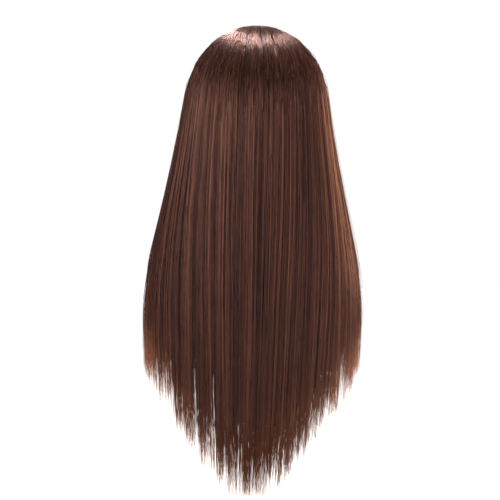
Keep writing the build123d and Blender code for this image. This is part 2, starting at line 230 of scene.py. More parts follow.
def hang(z):
    """Half width, half depth and middle of the level outline of the hair at height z, below the temples."""
    drop = (temple - z) / (temple - hem)          # 0 at the temples, 1 at the longest tip
    half = smooth_line(drop, [0, 0.06, 0.18, 0.30, 0.40, 0.50, 0.62, 0.75, 1.0],
                       hair_half * np.array([0.680, 0.718, 0.795, 0.885, 0.965, 1.010, 1.015, 0.990, 0.90]))
    deep = smooth_line(drop, [0, 0.12, 0.30, 0.50, 0.70, 1.0],
                       DOME[1] * np.array([1, 0.99, 0.955, 0.90, 0.84, 0.72]))
    middle = skull_y * (1 - np.clip(drop / 0.25, 0, 1))
    return half, deep, middle


CROWN_Y = skull_y - 10 * MM                       # where the parting ends and the hair fans out
FRONT_Y = skull_y - 84 * MM                       # where the parting meets the forehead
FAN = 0.66                                        # the share of the hair that comes from the crown


def heading(across):
    """Where on the parting a strand starts, and which way it falls, as an angle from straight back."""
    along = np.clip((across - FAN) / (1 - FAN), 0, 1)
    start_y = CROWN_Y + (FRONT_Y - CROWN_Y) * along
    turn = np.radians(80) * np.clip(across / FAN, 0, 1) - np.radians(8) * along
    return start_y, turn


def on_surface(across, side, travel, inset):
    """The point that a strand reaches: travel 0 is the parting, 1 the temples, and more is below them."""
    start_y, turn = heading(across)
    over = np.radians(90) * np.minimum(travel, 1)
    z = temple - STEP_DOWN * np.clip(travel - 1, 0, None)
    half, deep, middle = hang(z)
    on_dome = travel < 1
    half = np.where(on_dome, DOME[0], half) - inset
    deep = np.where(on_dome, DOME[1], deep) - inset
    middle = np.where(on_dome, skull_y, middle)
    tall = DOME[2] - inset
    dx, dy, dz = np.sin(over) * np.sin(turn), np.sin(over) * np.cos(turn), np.cos(over)
    back = start_y - middle
    a = (dx / half) ** 2 + (dy / deep) ** 2 + (dz / tall) ** 2
    b = back * dy / deep ** 2
    c = (back / deep) ** 2 - 1
    reach = (-b + np.sqrt(np.maximum(b * b - a * c, 0))) / a
    return np.stack([side * reach * dx, start_y + reach * dy, np.where(on_dome, temple + reach * dz, z)], -1)


# %% [markdown]
# Strands are grown in locks of a few dozen. A lock shares its tone and its length, and its strands draw
# together towards the end, which gives the pointed wisps of combed hair. Strands that lie deeper are
# rooted further down the scalp, as on the real head, where each row of roots covers the row below it.

# %% Grow the strands
rng = np.random.default_rng(11)
HEM_RISE = 155 * MM                               # how much higher the hair ends at the sides
HAIR_RADIUS = 0.24 * MM
LOCK_SIZE = 28
WISP = 4                                          # strands of a lock that lie side by side


def hem_height(x):
    """The height that the longest hair reaches, this far from the middle."""
    return hem + HEM_RISE * np.minimum(np.abs(x) / hair_half, 1.0) ** 1.7


def grow(locks, depth_range, points, low_roots=0.0, across_range=(0.0, 1.0)):
    """Strand paths as an array (strand, point, 3), with each strand's tone and radius."""
    count = locks * LOCK_SIZE
    lock = np.repeat(np.arange(locks), LOCK_SIZE)
    side = rng.choice([-1.0, 1.0], locks)[lock]
    lock_across = rng.uniform(*across_range, locks)[lock]
    lock_depth = rng.uniform(*depth_range, locks)[lock]
    wisp = np.repeat(np.arange(count // WISP), WISP)
    spread = rng.normal(0, 1, (2, count // WISP))[:, wisp] + 0.06 * rng.normal(0, 1, (2, count))
    own_across = lock_across + 0.016 * spread[0]
    own_depth = lock_depth + 0.10 * spread[1]
    stray = rng.random(count) < 0.02
    # how far down the scalp the root sits: under the hair above it
    hairline = np.interp(np.clip(own_across, 0, 1), [0, 0.35, 0.6, 0.8, 1.0], [1.75, 1.6, 1.1, 1.0, 0.88])
    root = hairline * np.clip(own_depth, 0.0, 1.0) ** 0.75 * 0.97 + low_roots * rng.uniform(0.8, 1.0, count)
    root = np.minimum(root + rng.uniform(-0.10, 0.03, count), hairline)
    # where the tip hangs
    guess = on_surface(np.clip(lock_across, 0, 1), side, np.full(count, 3.6), 0 * root)
    shorter = (10 * MM * rng.random(locks)[lock] + 17 * MM * rng.gamma(1.2, 1.0, count)
               + 58 * MM * np.clip(own_depth, 0, 2) - 26 * MM)
    reach = np.where(lock_across > 0.62, hair_half, guess[:, 0])
    tip = hem_height(reach) + shorter
    tip = np.clip(np.where(tip < hem + 2 * MM, hem + 2 * MM + 9 * MM * rng.random(count), tip), None, -20 * MM)
    tip_travel = 1 + (temple - tip) / STEP_DOWN
    share = np.linspace(0, 1, points)[None, :]
    travel = root[:, None] + (tip_travel - root)[:, None] * share ** rng.uniform(1.45, 1.75, (count, 1))
    gathered = 0.10 * np.minimum(share * 3, 1) + 0.30 * share ** 3
    gathered = gathered * rng.uniform(0.2, 1.2, locks)[lock][:, None]
    phase = rng.uniform(0, 2 * np.pi, (4, locks))[:, lock][:, :, None]
    sway = (0.0045 * np.sin(travel * 1.3 + phase[0]) + 0.002 * np.sin(travel * 3.1 + phase[1])) * share
    across = lock_across[:, None] + (own_across - lock_across)[:, None] * (1 - gathered) + sway
    depth = lock_depth[:, None] + (own_depth - lock_depth)[:, None] * (1 - gathered)
    low = np.clip((travel - 1) / 1.1, 0, 1)
    thick = (5.5 + 16.5 * low * low * (3 - 2 * low)) * MM
    layer = thick * np.clip(depth, -0.06, 2)
    layer = layer - np.where(stray, rng.uniform(1, 4.5, count) * MM, 0)[:, None] * share
    layer = layer + 0.8 * MM * np.sin(travel * 2.2 + phase[2]) * share
    skin = cover + 0.4 * MM + 0.45 * STEP_DOWN * np.clip(travel - 1, 0, 0.7)
    lift = np.exp(-(travel - root[:, None]) * STEP_DOWN / (6 * MM))
    inset = layer + (skin - layer) * lift
    # a strand that strays past the middle of the back lies on the other side
    paths = on_surface(np.abs(across), side[:, None] * np.where(across < 0, -1, 1), travel, inset)
    paths += rng.normal(0, 1.0 * MM, (count, 1, 3)) * (share[..., None] ** 2) * [1, 0.6, 0]
    tone = (0.5 + 0.06 * rng.normal(0, 1, locks)[lock] + 0.20 * rng.normal(0, 1, count // WISP)[wisp]
            + 0.12 * rng.normal(0, 1, count))
    tone = np.clip(tone, 0.01, 0.99)
    radius = HAIR_RADIUS * rng.uniform(0.8, 1.2, count)
    return paths, tone, radius


# %% [markdown]
# Each path becomes a tube. Around every point of the path stand three corners, turned so that they follow
# the strand. The UV map holds what the colour needs: the tone across, and root to tip upwards. All three
# sides of a strand lie on the same narrow column of the map.

# %% Turn paths into closed tubes
SIDES = 3
COLUMN = 1 / 64                                   # width of a strand's column in the UV map


def tube_arrays(paths, tone, radius):
    """Corner places, triangles and quads, and the UV of every corner of every face."""
    count, points, _ = paths.shape
    along = np.gradient(paths, axis=1)
    along /= np.linalg.norm(along, axis=2, keepdims=True) + 1e-12
    outward = paths * [1, 1, 0] - [0, skull_y, 0]
    first = np.cross(along, outward)
    first /= np.linalg.norm(first, axis=2, keepdims=True) + 1e-12
    second = np.cross(along, first)
    share = np.linspace(0, 1, points)
    towards_tip = (1 - 0.82 * share ** 3.5)[None, :]
    towards_root = (0.55 + 0.45 * np.minimum(share * 12, 1))[None, :]
    thick = radius[:, None] * towards_tip * towards_root
    angle = 2 * np.pi * np.arange(SIDES) / SIDES
    ring = (np.cos(angle)[:, None] * first[:, :, None, :] + np.sin(angle)[:, None] * second[:, :, None, :])
    places = (paths[:, :, None, :] + thick[:, :, None, None] * ring).reshape(-1, 3)
    corner = np.arange(count * points * SIDES).reshape(count, points, SIDES)
    beside = np.roll(corner, -1, axis=2)
    quads = np.stack([corner[:, :-1], beside[:, :-1], beside[:, 1:], corner[:, 1:]], -1).reshape(-1, 4)
    ends = np.concatenate([corner[:, 0, ::-1], corner[:, -1]])
    column = (np.floor(tone / COLUMN) + 0.5) * COLUMN
    left, right = column - 0.4 * COLUMN, column + 0.4 * COLUMN
    v = 0.02 + 0.96 * share
    shape = (count, points - 1, SIDES)
    u_corners = np.stack([np.broadcast_to(edge[:, None, None], shape)
                          for edge in (left, right, right, left)], -1)
    v_corners = np.stack([np.broadcast_to(row[None, :, None], shape)
                          for row in (v[:-1], v[:-1], v[1:], v[1:])], -1)
    quad_uv = np.stack([u_corners, v_corners], -1).reshape(-1, 2)
    end_u = np.stack([left, right, column], -1)
    end_uv = np.concatenate([np.stack([end_u, np.full((count, 3), level) + [0, 0, tail]], -1)
                             for level, tail in ((v[0], -0.01), (v[-1], 0.01))]).reshape(-1, 2)
    return places, quads, ends, quad_uv, end_uv


def strands_object(name, groups, material):
    """One mesh object of many tubes, from (paths, tone, radius) groups."""
    parts = [tube_arrays(*group) for group in groups if len(group[0])]
    starts = np.cumsum([0] + [len(part[0]) for part in parts])
    places = np.concatenate([part[0] for part in parts])
    quads = np.concatenate([part[1] + start for part, start in zip(parts, starts)])
    ends = np.concatenate([part[2] + start for part, start in zip(parts, starts)])
    mesh = bpy.data.meshes.new(name)
    mesh.vertices.add(len(places))
    mesh.vertices.foreach_set("co", places.astype(np.float32).ravel())
    mesh.loops.add(quads.size + ends.size)
    mesh.loops.foreach_set("vertex_index", np.concatenate([quads.ravel(), ends.ravel()]).astype(np.int32))
    mesh.polygons.add(len(quads) + len(ends))
    starts = np.concatenate([np.arange(len(quads)) * 4, quads.size + np.arange(len(ends)) * 3])
    mesh.polygons.foreach_set("loop_start", starts.astype(np.int32))
    mesh.polygons.foreach_set("use_smooth", np.ones(len(starts), bool))
    mesh.update(calc_edges=True)
    uv = np.concatenate([part[3] for part in parts] + [part[4] for part in parts])
    layer = mesh.uv_layers.new(name="OFBake")
    layer.data.foreach_set("uv", uv.astype(np.float32).ravel())
    mesh.materials.append(material)
    made = bpy.data.objects.new(name, mesh)
    bpy.context.scene.collection.objects.link(made)
    print(name, sum(len(group[0]) for group in groups), "strands,", 2 * len(quads) + len(ends), "triangles")
    return made


# %% [markdown]
# The fibre is a dark brown with red in it. The tone moves each strand a little darker or redder than its
# neighbours. The tips are painted lighter and warmer: a painted glow that stands in for the light that
# shines through the thin ends. The shine comes from the fibre's own low roughness: thin round tubes
# spread a lamp into one band across the crown.

# %% Hair finish
DARKEST, MIDDLE, REDDEST = (0.022, 0.008, 0.006), (0.112, 0.041, 0.029), (0.300, 0.118, 0.075)
# the colour of the painted glow at the tips, in place of light shining through them
PAINTED_TIP_GLOW = (0.62, 0.24, 0.115)


def hair_colour(start):
    tone, along, _ = start.axes(start.node("ShaderNodeUVMap", {"uv_map": "OFBake"}))
    stops = [(0.0, DARKEST), (0.5, MIDDLE), (1.0, REDDEST)]
    body = start.node("ShaderNodeValToRGB", {"stops": stops}, {0: tone})
    # painted glow: the last part of each strand is tinted lighter and warmer, in place of light shining
    # through the tips
    ends = along.step(0.885, 1.0) * 0.72
    return ends.mix(body, PAINTED_TIP_GLOW)


hair_fibre = finish_of("hair_fibre", hair_colour, 0.27, Metallic=0.60, Specular_IOR_Level=0.45, IOR=1.55)

# %% [markdown]
# The strands are grown in two layers and a third low one at the nape, then sorted by the angle that they
# hang at. Each group stands for one section of the hair that the frame knows. The front hair is split in
# two, because one mesh of it would be too heavy.

# %% Strands by section
sections = {                                      # angles from the middle of the back, in degrees
    "back": (0, 27), "back_side": (27, 56), "side": (56, 84), "front": (84, 104), "temple": (104, 180),
}
outer = grow(480, (0.0, 0.45), 12)
inner = grow(430, (0.45, 1.05), 8)
for section, (start, end) in sections.items():
    for side_name, sign in (("left", 1), ("right", -1)):
        groups = []
        for paths, tone, radius in (outer, inner):
            low = paths[:, int(paths.shape[1] * 0.6)]
            angle = np.degrees(np.arctan2(low[:, 0] * sign, low[:, 1] - skull_y))
            from_start = angle >= start if start or sign > 0 else angle > start
            mine = from_start & (angle < end)
            groups.append((paths[mine], tone[mine], radius[mine]))
        name = f"strands_{section}_{side_name}"
        piece = strands_object(name, groups, hair_fibre)
        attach(piece, "root")
        stands_for = "front" if section == "temple" else section
        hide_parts(f"hair_{stands_for}_{side_name}")
nape = grow(90, (1.15, 1.75), 8, low_roots=1.75, across_range=(0.0, 0.42))
for side_name, sign in (("left", 1), ("right", -1)):
    mine = nape[0][:, -1, 0] * sign > 0
    piece = strands_object(f"strands_nape_{side_name}", [tuple(part[mine] for part in nape)], hair_fibre)
    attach(piece, "root")
    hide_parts(f"hair_nape_{side_name}")

# %% [markdown]
# ## The head under the hair
#
# The face and the scalp are one soft vinyl skin, slush-moulded and then painted. A mould's master is
# sculpted: plain masses first, then the features, then the sharp details. The same order works here. The
# skull and the neck are lofted through level ellipses and fused by a voxel remesh, the features are pushed
# in and out of the fused form as a sculptor's strokes would, and the openings are cut last, so that the
# edges of the lids stay crisp.

# %% Landmarks of the head
HEAD_TALL = 206 * MM                              # chin to crown
SKIN = 3.5 * MM
eye_radius = (eye_high.x - eye_low.x) / 2
eye_x, eye_y = (eye_high.x + eye_low.x) / 2, eye_high.y - eye_radius
eye_z = (eye_high.z + eye_low.z) / 2
chin = crown - HEAD_TALL
third = 0.27 * HEAD_TALL                          # chin to nose, nose to brow and brow to hairline
nose_base, brow = chin + third, chin + 2 * third
hairline = chin + 3 * third + 2 * MM
mouth = nose_base - 19 * MM
head_mid, face_front = skull_y, skull_y - HALF_DEEP
neck_half, neck_deep, NECK_FLARE = 51 * MM, 52 * MM, 8 * MM
ear_y, ear_z = head_mid + 10 * MM, (brow + nose_base) / 2 + 3 * MM
print("eye", round(eye_x, 4), round(eye_y, 4), round(eye_z, 4), "face front", round(face_front, 4))

# %% [markdown]
# A few helpers keep the steps short: they pick a piece, apply a modifier, cut one form with another, and
# make a loft or a ball. `fuse` joins overlapping forms and gives the whole an even skin of small faces.

# %% Helpers for solid pieces
def activate(piece):
    bpy.ops.object.select_all(action="DESELECT")
    piece.select_set(True)
    bpy.context.view_layer.objects.active = piece


def apply_modifier(piece, kind, **settings):
    """Adds a modifier, sets it and applies it."""
    activate(piece)
    modifier = piece.modifiers.new(kind.lower(), kind)
    for name, value in settings.items():
        setattr(modifier, name, value)
    bpy.ops.object.modifier_apply(modifier=modifier.name)


def carve(piece, tool, operation="DIFFERENCE", keep_tool=False):
    apply_modifier(piece, "BOOLEAN", object=tool, operation=operation, solver="MANIFOLD")
    if not keep_tool:
        bpy.data.objects.remove(tool)


def from_mesh(name, places, faces):
    mesh = bpy.data.meshes.new(name)
    mesh.from_pydata([tuple(place) for place in places], [], faces)
    mesh.update()
    made = bpy.data.objects.new(name, mesh)
    bpy.context.scene.collection.objects.link(made)
    return made


def face_outwards(piece):
    activate(piece)
    bpy.ops.object.mode_set(mode="EDIT")
    bpy.ops.mesh.select_all(action="SELECT")
    bpy.ops.mesh.normals_make_consistent(inside=False)
    bpy.ops.object.mode_set(mode="OBJECT")
    return piece


def loft(name, stations, rings=64, columns=96):
    """A closed form through level ellipses. Each station is (height, half width, front, back)."""
    at = np.linspace(0, len(stations) - 1, rings)
    z, half, front, back = (smooth_line(at, np.arange(len(stations)), row) for row in np.array(stations).T)
    angle = np.linspace(0, 2 * np.pi, columns, endpoint=False)
    x = half[:, None] * np.sin(angle)
    y = ((front + back) / 2)[:, None] - ((back - front) / 2)[:, None] * np.cos(angle)
    places = np.stack([x, y, np.broadcast_to(z[:, None], x.shape)], -1).reshape(-1, 3)
    corner = np.arange(rings * columns).reshape(rings, columns)
    beside = np.roll(corner, -1, axis=1)
    faces = np.stack([corner[:-1], beside[:-1], beside[1:], corner[1:]], -1).reshape(-1, 4).tolist()
    faces += [corner[0, ::-1].tolist(), corner[-1].tolist()]
    return from_mesh(name, places, faces)


def ball(radii, centre, turn=(0, 0, 0), segments=48):
    bpy.ops.mesh.primitive_uv_sphere_add(segments=segments, ring_count=segments // 2, radius=1.0,
                                         location=centre, rotation=[math.radians(a) for a in turn])
    made = bpy.context.object
    made.scale = radii
    bpy.ops.object.transform_apply()
    return made


def fuse(pieces, name, voxel):
    """Joins overlapping closed forms into one skin."""
    activate(pieces[0])
    for piece in pieces:
        piece.select_set(True)
    bpy.ops.object.join()
    made = bpy.context.object
    made.name = made.data.name = name
    apply_modifier(made, "REMESH", mode="VOXEL", voxel_size=voxel)
    return made


# %% [markdown]
# The skull is a stack of ellipses from the chin to the crown, given as shares of the head's size. The
# same form, taken in all round, is later cut out of the middle to leave the skin.

# %% Masses of skull and neck
# shares of the head: height above the chin, half width, distance ahead of and behind the middle
SKULL = [
    (0.00, 0.22, 0.90, -0.50), (0.03, 0.44, 0.955, -0.20), (0.09, 0.60, 0.985, 0.12), (0.16, 0.73, 1.00, 0.36),
    (0.26, 0.84, 1.01, 0.60), (0.38, 0.92, 1.01, 0.82), (0.52, 0.985, 1.00, 0.95), (0.66, 1.00, 0.995, 1.00),
    (0.78, 0.955, 0.94, 0.97), (0.88, 0.81, 0.80, 0.85), (0.95, 0.58, 0.57, 0.62), (0.985, 0.34, 0.33, 0.37),
    (1.00, 0.09, 0.07, 0.10),
]


ORBIT = (20 * MM, 7 * MM, 12.5 * MM)


def head_mass(name, inset, voxel, extra=()):
    """Skull and neck as one form, taken in by inset all round."""
    skull = [(chin + inset + up * (HEAD_TALL - 2 * inset), wide * skull_half - inset * min(1, wide * 2),
              head_mid - ahead * HALF_DEEP + inset * min(1, ahead * 3),
              head_mid + behind * HALF_DEEP - inset * min(1, abs(behind) * 3))
             for up, wide, ahead, behind in SKULL]
    w, d, flare = neck_half - inset, neck_deep - inset, NECK_FLARE
    neck = [(-14 * MM, w + flare, -d - flare, d + flare), (0, w + flare, -d - flare, d + flare),
            (0.10 * chin, w + 0.9 * flare, -d - 0.9 * flare, d + 0.9 * flare),
            (0.28 * chin, w + 0.35 * flare, -d - 0.35 * flare, d + 0.35 * flare),
            (0.50 * chin, w, -d, d), (0.85 * chin, 0.97 * w, -0.93 * d, d + 1 * MM),
            (chin + 0.14 * HEAD_TALL, 0.97 * w, -0.80 * d, d + 5 * MM),
            (chin + 0.38 * HEAD_TALL, 0.95 * w, -0.70 * d, d + 14 * MM)]
    made = fuse([loft("skull", skull), loft("neck", neck), *extra], name, voxel)
    for sign in (1, -1):                          # the hollow of the face round each eye
        carve(made, ball((ORBIT[0] + inset, ORBIT[1] + inset, ORBIT[2] + inset),
                         (sign * 0.88 * eye_x, face_front, eye_z)))
    return made


EAR_LEAN = (-12, 0, 0)                            # degrees
ears = [ball((11 * MM, 16 * MM, 30 * MM), (sign * (skull_half - 1 * MM), ear_y, ear_z), EAR_LEAN)
        for sign in (1, -1)]
head = head_mass("head", 0.0, 1.6 * MM, ears)
print("masses fused:", len(head.data.polygons), "faces")

# %% [markdown]
# A stroke is a soft bump or dent at a place on the face, seen from in front: how far out from the middle,
# how high, how wide, how tall, and how deep it goes. Every stroke is made on both sides at once. The lids
# are a slightly larger ball laid over each eye and blended into the socket.

# %% Features
STROKES = [                                       # out, height above the mouth, width, height, depth, in mm
    (0, 110, 46, 26, 2.0),                        # forehead
    (27, 80, 15, 6, 2.6),                         # brow ridge
    (0, 76, 9, 7, -1.5),                          # between the brows
    (31, 63, 18, 11, -2.5),                       # eye sockets
    (49, 42, 15, 13, 3.6),                        # cheekbones
    (32, 34, 13, 12, 2.0),                        # cheeks
    (45, 8, 13, 18, -2.5),                        # under the cheekbones
    (0, 2, 23, 15, 5.0),                          # the teeth behind the lips
    (0, -14.5, 15, 3.8, -3.2),                    # fold above the chin
    (0, -27, 15, 9, 6.0),                         # chin
    (13, 24, 4.6, 5.2, 7.5),                      # nostril wings
    (19, 22, 3.0, 5.0, -1.6),                     # fold beside each wing
    (28, 1, 3.4, 4.0, -2.0),                      # corners of the mouth
    (0, 13.0, 2.4, 4.5, -1.6),                    # groove under the nose
    (65, 88, 12, 18, -2.5),                       # temples
]
LIP_HALF = 24 * MM                                # half the width of the mouth


def bell(distance, width):
    return np.exp(-(distance / width) ** 2)


LID_HALF = 15 * MM                                # half the opening between the lids


def lid_edges(across):
    """Height of the upper and the lower lid's edge above the pupil, across the eye from its inner corner."""
    t = np.clip(across / LID_HALF, -1, 1)         # -1 at the inner corner, 1 at the outer one
    upper = 5.6 * MM * (1 - np.abs(t) ** 2.2) * (1 - 0.12 * t) + 0.9 * MM * t
    lower = -4.6 * MM * (1 - np.abs(t) ** 2.4) * (1 + 0.15 * t) + 0.9 * MM * t
    return upper, lower


def sculpt(piece):
    """Pushes the features into the fused head."""
    count = len(piece.data.vertices)
    place = np.empty(count * 3)
    piece.data.vertices.foreach_get("co", place)
    place = place.reshape(-1, 3)
    x, y, z = place.T.copy()
    out, up = np.abs(x), z - mouth
    ahead = np.clip((head_mid - 15 * MM - y) / (45 * MM), 0, 1)
    ahead = ahead * ahead * (3 - 2 * ahead)
    depth = np.zeros(count)
    for side, height, wide, tall, deep in STROKES:
        depth += deep * MM * bell(out - side * MM, wide * MM) * bell(up - height * MM, tall * MM)
    # the nose: a ridge that widens and rises to its tip, and falls away steeply below it
    ridge = [-2, 12, 15, 18, 22, 27, 33, 45, 60, 72, 80]
    level = np.clip(up / MM, -2, 80)
    rise = smooth_line(level, ridge, [0, 0, 1.5, 9.0, 17.0, 19.0, 17.0, 11.5, 6.0, 2.4, 0]) * MM
    slim = smooth_line(level, ridge, [9, 9, 9, 9, 9.2, 9.2, 8.2, 6.8, 6.4, 7.0, 8.0]) * MM
    depth += rise * bell(out, slim)
    # the lips: two rolls that meet in a thin line
    lens = np.clip(1 - (out / LIP_HALF) ** 2.4, 0, 1)
    bow = 1.1 * MM * bell(out - 6 * MM, 4 * MM)
    depth += 4.2 * MM * lens * bell(up - (3.6 * MM + bow), 3.3 * MM)
    depth += 5.0 * MM * np.clip(1 - (out / (0.86 * LIP_HALF)) ** 2.4, 0, 1) * bell(up + 5.0 * MM, 3.9 * MM)
    line = 0.5 * MM * bell(out - 9 * MM, 6 * MM) - 0.6 * MM * bell(out, 4 * MM)
    depth -= 3.6 * MM * np.clip(1 - (out / LIP_HALF) ** 6, 0, 1) * bell(up - line, 1.25 * MM)
    y -= depth * ahead
    # the lids, and the crease above the upper one
    across = out - eye_x
    over = z - eye_z
    reach = np.sqrt(np.clip((eye_radius + 2.0 * MM) ** 2 - across ** 2 - over ** 2, 0, None))
    soft = 1.0 * MM
    lid = np.where((reach > 0) & (y < eye_y), eye_y - reach, 1.0)
    blended = -soft * np.logaddexp(-y / soft, -lid / soft)
    y = np.where(lid < 1.0, np.minimum(y, blended), y)
    upper, lower = lid_edges(across)
    inside = bell(across, 14 * MM) * (ahead > 0.5)
    y += inside * (1.5 * MM * bell(over - upper - 4.4 * MM, 1.0 * MM)
                   + 0.6 * MM * bell(over - lower + 4.5 * MM, 1.2 * MM))
    place[:, 1] = y
    piece.data.vertices.foreach_set("co", place.ravel())
    piece.data.update()


sculpt(head)
apply_modifier(head, "REMESH", mode="VOXEL", voxel_size=1.15 * MM)
apply_modifier(head, "SMOOTH", factor=0.5, iterations=2)
print("features sculpted:", len(head.data.polygons), "faces")

# %% [markdown]
# Then come the cuts: the wells for the eyeballs, the almond-shaped openings, the nostrils and the hollow
# of each ear. The inner form is taken out of the middle, which leaves a soft skin, thickest in the nose.

# %% Openings and the hollow inside
def almond(sign):
    """A prism ahead of the eye whose outline is the two lid edges."""
    t = np.linspace(-LID_HALF, LID_HALF, 41)
    upper, lower = lid_edges(t)
    outline = np.concatenate([np.stack([t, upper], 1), np.stack([t[-2:0:-1], lower[-2:0:-1]], 1)])
    places = [(sign * (eye_x + a), y, eye_z + b) for y in (eye_y, face_front - 30 * MM) for a, b in outline]
    n = len(outline)
    faces = [[i, (i + 1) % n, n + (i + 1) % n, n + i] for i in range(n)]
    faces += [list(range(n))[::-1], list(range(n, 2 * n))]
    return face_outwards(from_mesh("almond", places, faces))


for sign in (1, -1):
    carve(head, ball([eye_radius + 0.35 * MM] * 3, (sign * eye_x, eye_y, eye_z), segments=64))
    carve(head, almond(sign))
    carve(head, ball((2.6 * MM, 4.6 * MM, 5.0 * MM),
                     (sign * 6.6 * MM, face_front - 8.5 * MM, nose_base + 0.8 * MM), (-18, sign * 14, 0)))
    carve(head, ball((5 * MM, 10 * MM, 19 * MM),
                     (sign * (skull_half + 11 * MM), ear_y - 2 * MM, ear_z + 4 * MM), EAR_LEAN))
bpy.ops.mesh.primitive_cube_add(size=0.4, location=(0, 0, -0.2))
carve(head, bpy.context.object)                   # the foot of the neck is cut off flat, and stays open
carve(head, head_mass("inner", SKIN, 3.0 * MM))
apply_modifier(head, "SMOOTH", factor=0.3, iterations=1)
print("openings cut:", len(head.data.polygons), "faces")

# %% [markdown]
# The scalp is a separate rooted piece. Its edge is the hairline, which runs from the forehead down past
# the temples, round the ears and across the nape, so the skin is split by a block with that side outline.

# %% Split the skin at the hairline
HAIRLINE = [(face_front - 30 * MM, hairline + 18 * MM), (face_front + 8 * MM, hairline),
            (face_front + 32 * MM, brow + 24 * MM), (ear_y - 44 * MM, ear_z + 21 * MM),
            (ear_y - 36 * MM, ear_z + 8 * MM), (ear_y - 30 * MM, ear_z + 6 * MM),
            (ear_y - 24 * MM, ear_z + 16 * MM), (ear_y - 18 * MM, ear_z + 30 * MM),
            (ear_y - 6 * MM, ear_z + 36 * MM), (ear_y + 10 * MM, ear_z + 36 * MM),
            (ear_y + 20 * MM, ear_z + 26 * MM), (ear_y + 26 * MM, ear_z + 2 * MM),
            (ear_y + 30 * MM, chin + 60 * MM), (ear_y + 42 * MM, chin + 34 * MM),
            (skull_back + 20 * MM, chin + 6 * MM)]
outline = HAIRLINE + [(skull_back + 20 * MM, crown + 30 * MM), (face_front - 30 * MM, crown + 30 * MM)]
n = len(outline)
BEYOND = 0.2                                      # further out than the head reaches
block = face_outwards(from_mesh("block", [(x, y, z) for x in (-BEYOND, BEYOND) for y, z in outline],
                                [[i, n + i, n + (i + 1) % n, (i + 1) % n] for i in range(n)]
                                + [list(range(n)), list(range(n, 2 * n))[::-1]]))
scalp = head.copy()
scalp.data = head.data.copy()
bpy.context.scene.collection.objects.link(scalp)
carve(scalp, block, "INTERSECT", keep_tool=True)
carve(head, block)
head.name = head.data.name = "face_vinyl"
scalp.name = scalp.data.name = "scalp_vinyl"
for piece in (head, scalp):
    apply_modifier(piece, "DECIMATE", ratio=0.45)
    bpy.ops.object.shade_smooth_by_angle(angle=math.radians(50))
    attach(piece, "root")
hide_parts("face_skin")
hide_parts("scalp_cap")
print("face", len(head.data.polygons), "faces, scalp", len(scalp.data.polygons))

# %% [markdown]
# The skin is a warm flesh-coloured vinyl, matt with a faint mottle and fine pores, and the make-up is
# airbrushed on: rose lips, a little colour on the cheeks, soft brown brows drawn in short strokes, and a
# dark line along the lids. Each of these is a mask worked out from the place of the point.

# %% Skin finish
SKIN_TONE, SKIN_DEEP = (0.56, 0.335, 0.235), (0.50, 0.265, 0.18)
ROSE, PINK, BLUSH = (0.42, 0.085, 0.075), (0.52, 0.13, 0.11), (0.60, 0.235, 0.17)
BROW_BROWN, LINER, LID_SHADE = (0.075, 0.036, 0.024), (0.035, 0.02, 0.016), (0.33, 0.17, 0.13)


def skin_colour(start):
    x, y, z = start.axes()
    out = start.math("ABSOLUTE", x)
    ahead = y.step(head_mid - 50 * MM, head_mid - 70 * MM)
    mottle = start.noise(38.0, 4.0, 0.55)
    colour = mottle.step(0.3, 0.75).mix(SKIN_TONE, SKIN_DEEP)
    blush = ((out - 47 * MM) / (17 * MM)) ** 2 + ((z - (mouth + 33 * MM)) / (13 * MM)) ** 2
    colour = (blush.step(1.3, 0.0) * 0.45 * ahead).mix(colour, BLUSH)
    lens = (1 - (out / LIP_HALF) ** 2.2).clamp()
    bow = start.math("MAXIMUM", 1 - ((out - 6 * MM) / (5 * MM)) ** 2, 0.0) * (1.2 * MM)
    above = lens ** 0.7 * (6.3 * MM) + bow - (z - mouth)
    below = lens ** 0.6 * (9.6 * MM) + (z - mouth)
    lips = above.step(0.0, 0.9 * MM) * below.step(0.0, 1.2 * MM) * ahead
    lip_tone = start.noise(260.0, 2.0, 0.5).mix(ROSE, PINK)
    colour = (lips * 0.86).mix(colour, lip_tone)
    # the brows rise to two thirds of their length and taper outwards
    along = ((out - 14 * MM) / (34 * MM)).clamp()
    arch = brow + 2 * MM + along ** 1.1 * (9.0 * MM) - along ** 4 * (8.5 * MM)
    stretch = start.node("ShaderNodeCombineXYZ", {},
                         {0: out * 900.0 + z * 500.0, 1: 0.0, 2: z * 160.0 - out * 120.0})
    strokes = start.noise(1.0, 2.0, 0.6, stretch)
    half = (1 - along ** 2.5 * 0.75) * (3.0 * MM)
    away = start.math("ABSOLUTE", z - arch) / half
    ends = out.step(12 * MM, 17 * MM) * out.step(50 * MM, 43 * MM)
    brows = away.step(1.15, 0.45) * ends * strokes.step(0.30, 0.62) * ahead
    colour = (brows * 0.85).mix(colour, BROW_BROWN)
    # the line along the lids
    across, over = out - eye_x, z - eye_z
    t = start.math("ABSOLUTE", across / LID_HALF).clamp()
    upper = (1 - t ** 2.2) * (5.6 * MM) + across * 0.06
    lower = (1 - t ** 2.4) * (-4.6 * MM) + across * 0.06
    near = start.math("ABSOLUTE", across).step(17.5 * MM, 14.5 * MM) * ahead
    liner = start.math("ABSOLUTE", over - upper - 0.7 * MM).step(1.5 * MM, 0.5 * MM) * near
    under = start.math("ABSOLUTE", over - lower + 0.5 * MM).step(1.2 * MM, 0.3 * MM) * near
    colour = (liner * 0.85).mix(colour, LINER)
    colour = (under * 0.35).mix(colour, LINER)
    shadow = over.step(14 * MM, 7 * MM) * over.step(3 * MM, 6 * MM)
    shadow = shadow * start.math("ABSOLUTE", across).step(21 * MM, 10 * MM) * ahead
    return (shadow * 0.35).mix(colour, LID_SHADE)


def skin_roughness(start):
    x, y, z = start.axes()
    out = start.math("ABSOLUTE", x)
    lips = out.step(26 * MM, 20 * MM) * (z - mouth).step(-11 * MM, -7 * MM) * (z - mouth).step(9 * MM, 5 * MM)
    return start.noise(90.0) * 0.14 + 0.44 - lips * y.step(head_mid - 50 * MM, head_mid - 80 * MM) * 0.18


def pores(start):
    return start.noise(1500.0, 3.0, 0.6) * 0.7 + start.noise(260.0, 2.0) * 0.5


